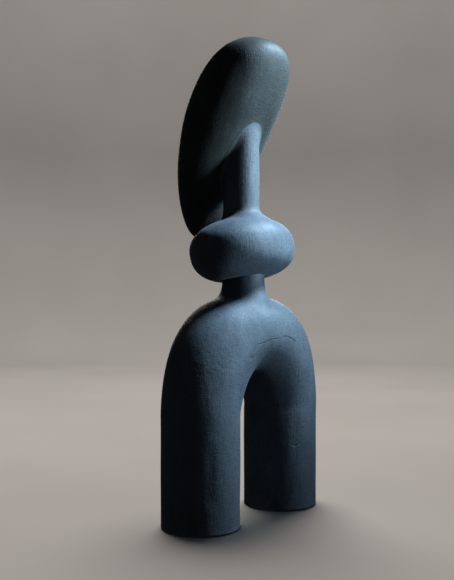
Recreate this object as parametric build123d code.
from build123d import *
import os
from math import cos, radians, sin, tan

# A standing ancestor figure, built up from dowelled blocks of dark hardwood.
# It faces -Y and stands on z = 0. Its own left side is +X. Sizes are in millimetres.

# ---- Plan ----
# The legs, waist and neck stand on one line, set back so that the head, which
# hangs forward, and the back of the figure are equally far from the origin.
axis_y = 12.5

# ---- Legs and hip arch ----
leg_radius = 40.0
leg_spacing = 129.0
leg_height = 106.0
foot_arris = 1.5
arch_step = 18
outer_rise = 126.0
outer_power_left = 2.36
outer_power_right = 2.5
inner_rise = 44.5
inner_power = 1.65
crown_half_depth = 44.5

# ---- Waist ----
# A flare is the radius of its arc and the degrees that it turns through.
waist_y = axis_y + 1.5
waist_radius = 22.9
waist_flare = (14.0, 26)
waist_flare_z = 241.0
waist_root_radius = 34.0
waist_root_z = 190.0

# ---- Torso disc: a thick oval lens, leaning forward ----
disc_centre = Vector(0, axis_y + 0.5, 278.8)
disc_half_width = 63.6
disc_half_depth = 48.9
disc_half_top = 32.6
disc_half_bottom = 33.1
disc_top_power = 2.2
disc_bottom_power = 2.65
disc_lean = 13.2
disc_sections = 16
disc_step = 180 / disc_sections
disc_seat_angle = 2 * disc_step - 90

# ---- Neck post ----
neck_y = axis_y - 1.4
neck_radius = 19.2
neck_bottom_z = 295.0
neck_top_z = 425.0
skirt_flare = (9.0, 45)
skirt_root_radius = 28.2
skirt_top = 39.3
skirt_root = 20.0

# ---- Head: a long thick oval with a flattened back, leaning back, its ends curved to the rear ----
head_centre = Vector(0, axis_y - 24.5, 401.0)
head_lean = 26.2
head_half_width = 52.9
head_half_depth = 39.2
head_top_length = 107.5
head_chin_length = 115.5
head_top_power = 2.33
head_chin_power = 1.95
head_taper = 0.24
head_bow = 11.5
head_flat = 0.14
head_sections = 16
head_step = 180 / head_sections
chin_flat_angle = -84

# ---- Glued dowels ----
glue_gap = 0.1
end_gap = 1.5
dowel_lead = 0.8
leg_dowel_radius = 8.0
leg_dowel_reach = 32.0
leg_dowel_offset = 16.0
waist_dowel_radius = 9.0
waist_dowel_bottom = 205.0
waist_dowel_top = 266.0
neck_dowel_radius = 8.0
neck_dowel_bottom = 287.0
neck_dowel_top = 338.0
head_dowel_radius = 6.0
head_dowel_bottom = 344.0
head_dowel_top = 396.0


def power_curve(angle, power):
    """A superellipse's across and up shares, both from 0 to 1, at an angle in degrees."""
    share = 2.0 / power
    return abs(cos(radians(angle))) ** share, abs(sin(radians(angle))) ** share


def oval_wire(centre, across, deep, flat=0.0):
    """A closed oval from its centre and its two half-axes, through evenly spaced points.

    The side that deep points to can be flattened, by a share of its depth.
    """
    turns = [radians(angle) for angle in range(0, 360, 30)]
    reach = [sin(turn) - flat * max(0.0, 2 * sin(turn) - 1) ** 3.5 for turn in turns]
    points = [centre + across * cos(turn) + deep * share for turn, share in zip(turns, reach)]
    return Wire([Edge.make_spline(points, periodic=True)])


def leaning_axes(lean):
    """The directions up and to the rear of a block that leans back by some degrees."""
    turn = radians(lean)
    return Vector(0, sin(turn), cos(turn)), Vector(0, cos(turn), -sin(turn))


def column(x, y, bottom, top, radius):
    """An upright round column between two heights."""
    return Pos(x, y, (bottom + top) / 2) * Cylinder(radius, top - bottom)


def trumpet(radius, top, flare_z, flare, root_radius, root_z):
    """A round stem whose foot sweeps out: an arc, and then a cone down to its widest."""
    flare_radius, turn = flare
    half = radians(turn / 2)
    full = radians(turn)
    bend = (radius + flare_radius * (1 - cos(half)), flare_z - flare_radius * sin(half))
    end = (radius + flare_radius * (1 - cos(full)), flare_z - flare_radius * sin(full))
    rim_z = end[1] - (root_radius - end[0]) / tan(full)
    sweep = ThreePointArc((radius, flare_z), bend, end)
    foot = [end, (root_radius, rim_z), (root_radius, root_z), (0, root_z), (0, top)]
    stem = [] if top == flare_z else [(radius, top)]
    rest = Polyline(*foot, *stem, (radius, flare_z))
    return revolve(Plane.XZ * make_face([sweep, rest]), Axis.Z, 360)


# ---- Dowels and the holes that they are glued into ----
def dowel(x, y, bottom, top, radius):
    """A round dowel with a small lead-in at both ends."""
    rod = column(x, y, bottom, top, radius)
    return chamfer(rod.edges().filter_by(GeomType.CIRCLE), dowel_lead)


def dowel_hole(x, y, bottom, top, radius):
    """The hole for a dowel: wider by the glue gap and deeper by the end gap."""
    return column(x, y, bottom - end_gap, top + end_gap, radius + glue_gap)


leg_dowel_span = (leg_height - leg_dowel_reach, leg_height + leg_dowel_reach, leg_dowel_radius)
leg_dowel_places = [
    (side * leg_spacing / 2, axis_y + offset, *leg_dowel_span)
    for side in (1, -1)
    for offset in (leg_dowel_offset, -leg_dowel_offset)
]
waist_dowel_place = (0, waist_y, waist_dowel_bottom, waist_dowel_top, waist_dowel_radius)
neck_dowel_place = (0, neck_y, neck_dowel_bottom, neck_dowel_top, neck_dowel_radius)
head_dowel_place = (0, neck_y, head_dowel_bottom, head_dowel_top, head_dowel_radius)


def drill(block, places):
    for place in places:
        block -= dowel_hole(*place)
    return block


# ---- Legs ----
def make_leg(side):
    """A straight round post, with its lower arris eased."""
    post = column(side * leg_spacing / 2, axis_y, 0, leg_height, leg_radius)
    post = chamfer(post.edges().group_by(Axis.Z)[0], foot_arris)
    return drill(post, [place for place in leg_dowel_places if place[0] * side > 0])


# ---- Hip arch: the legs' upper ends, joined over the gap, and the waist ----
def arch_wire(angle):
    """The arch's oval section at an angle from the left leg, 0, to the right leg, 180.

    It starts on the inner side, so that the loft's own seam stays clear of the waist.
    """
    side = 1 if angle <= 90 else -1
    outer_power = outer_power_left if angle <= 90 else outer_power_right
    out_x, out_z = power_curve(angle, outer_power)
    in_x, in_z = power_curve(angle, inner_power)
    outer_x = side * (leg_spacing / 2 + leg_radius) * out_x
    inner_x = side * (leg_spacing / 2 - leg_radius) * in_x
    outer = Vector(outer_x, axis_y, leg_height + outer_rise * out_z)
    inner = Vector(inner_x, axis_y, leg_height + inner_rise * in_z)
    depth = leg_radius + (crown_half_depth - leg_radius) * sin(radians(angle)) ** 2
    return oval_wire((outer + inner) / 2, (inner - outer) / 2, Vector(0, depth, 0))


def arch():
    """From the left leg's top, up and over to the right leg's."""
    return Solid.make_loft([arch_wire(angle) for angle in range(0, 181, arch_step)])


def waist():
    """A short round neck that sweeps out into the top of the arch."""
    body = trumpet(waist_radius, disc_centre.Z, waist_flare_z, waist_flare, waist_root_radius, waist_root_z)
    return Pos(0, waist_y, 0) * body


def room_above_disc_seat():
    """All the room above the flat on the disc's underside, which leans with the disc."""
    room = 400.0
    rise = power_curve(disc_seat_angle, disc_bottom_power)[1]
    slab = Pos(0, 0, room / 2 - disc_half_bottom * rise) * Box(room, room, room)
    return Pos(disc_centre) * Rotation(disc_lean, 0, 0) * slab


def make_hip_arch():
    body = arch() + (waist() - room_above_disc_seat())
    return drill(body, [waist_dowel_place] + leg_dowel_places)


# ---- Torso disc ----
def disc_wire(angle):
    """The disc's oval section at an angle from its underside, -90, to its top, 90."""
    up, rear = leaning_axes(-disc_lean)
    power = disc_top_power if angle >= 0 else disc_bottom_power
    height = disc_half_top if angle >= 0 else -disc_half_bottom
    share, rise = power_curve(angle, power)
    middle = disc_centre + up * (height * rise)
    return oval_wire(middle, Vector(disc_half_width * share, 0, 0), rear * (disc_half_depth * share))


def disc_blank():
    """The whole lens, with a flat left on its underside for the waist."""
    up, rear = leaning_axes(-disc_lean)
    pole = Vertex(*(disc_centre + up * disc_half_top))
    wires = [disc_wire(step * disc_step - 90) for step in range(2, disc_sections)]
    return Solid.make_loft(wires + [pole])


def make_torso_disc():
    return drill(disc_blank(), [waist_dowel_place, neck_dowel_place])


# ---- Head ----
def head_wire(angle):
    """The head's oval section at an angle from the chin, -90, to the crown, 90."""
    up, rear = leaning_axes(head_lean)
    power = head_top_power if angle >= 0 else head_chin_power
    length = head_top_length if angle >= 0 else -head_chin_length
    share, rise = power_curve(angle, power)
    swell = share * (1 + head_taper * sin(radians(angle)))
    middle = head_centre + up * (length * rise) + rear * (head_bow * sin(radians(angle)) ** 2)
    across = Vector(head_half_width * swell, 0, 0)
    return oval_wire(middle, across, rear * (head_half_depth * swell), head_flat)


def head_blank():
    """The whole head, with a very small flat at the chin's tip."""
    up, rear = leaning_axes(head_lean)
    crown = Vertex(*(head_centre + up * head_top_length + rear * head_bow))
    angles = [chin_flat_angle] + [step * head_step - 90 for step in range(1, head_sections)]
    return Solid.make_loft([head_wire(angle) for angle in angles] + [crown])


def make_head():
    return drill(head_blank(), [head_dowel_place])


# ---- Neck post ----
def skirt():
    """The post's swept-out foot, which leans with the disc that it stands on."""
    body = trumpet(neck_radius, skirt_top, skirt_top, skirt_flare, skirt_root_radius, skirt_root)
    lean = radians(disc_lean)
    shift = (neck_y - disc_centre.Y + disc_half_top * sin(lean)) / cos(lean)
    return Pos(disc_centre) * Rotation(disc_lean, 0, 0) * Pos(0, shift, 0) * body


def make_neck_post():
    """A round post on a small skirt, coped to the disc below and to the back of the head."""
    up, rear = leaning_axes(head_lean)
    post = column(0, neck_y, neck_bottom_z, neck_top_z, neck_radius) + skirt()
    post -= Pos(0, 0, glue_gap) * disc_blank()
    post -= Pos(rear * glue_gap) * head_blank()
    return drill(post, [neck_dowel_place, head_dowel_place])


os.makedirs("parts", exist_ok=True)
parts = {
    "left_leg": make_leg(1),
    "right_leg": make_leg(-1),
    "hip_arch": make_hip_arch(),
    "torso_disc": make_torso_disc(),
    "neck_post": make_neck_post(),
    "head": make_head(),
    "leg_dowels": Compound([dowel(*place) for place in leg_dowel_places]),
    "waist_dowel": dowel(*waist_dowel_place),
    "neck_dowel": dowel(*neck_dowel_place),
    "head_dowel": dowel(*head_dowel_place),
}
for name, solid in parts.items():
    export_step(solid, f"parts/{name}.step")
    print(name, round(solid.volume), solid.bounding_box())
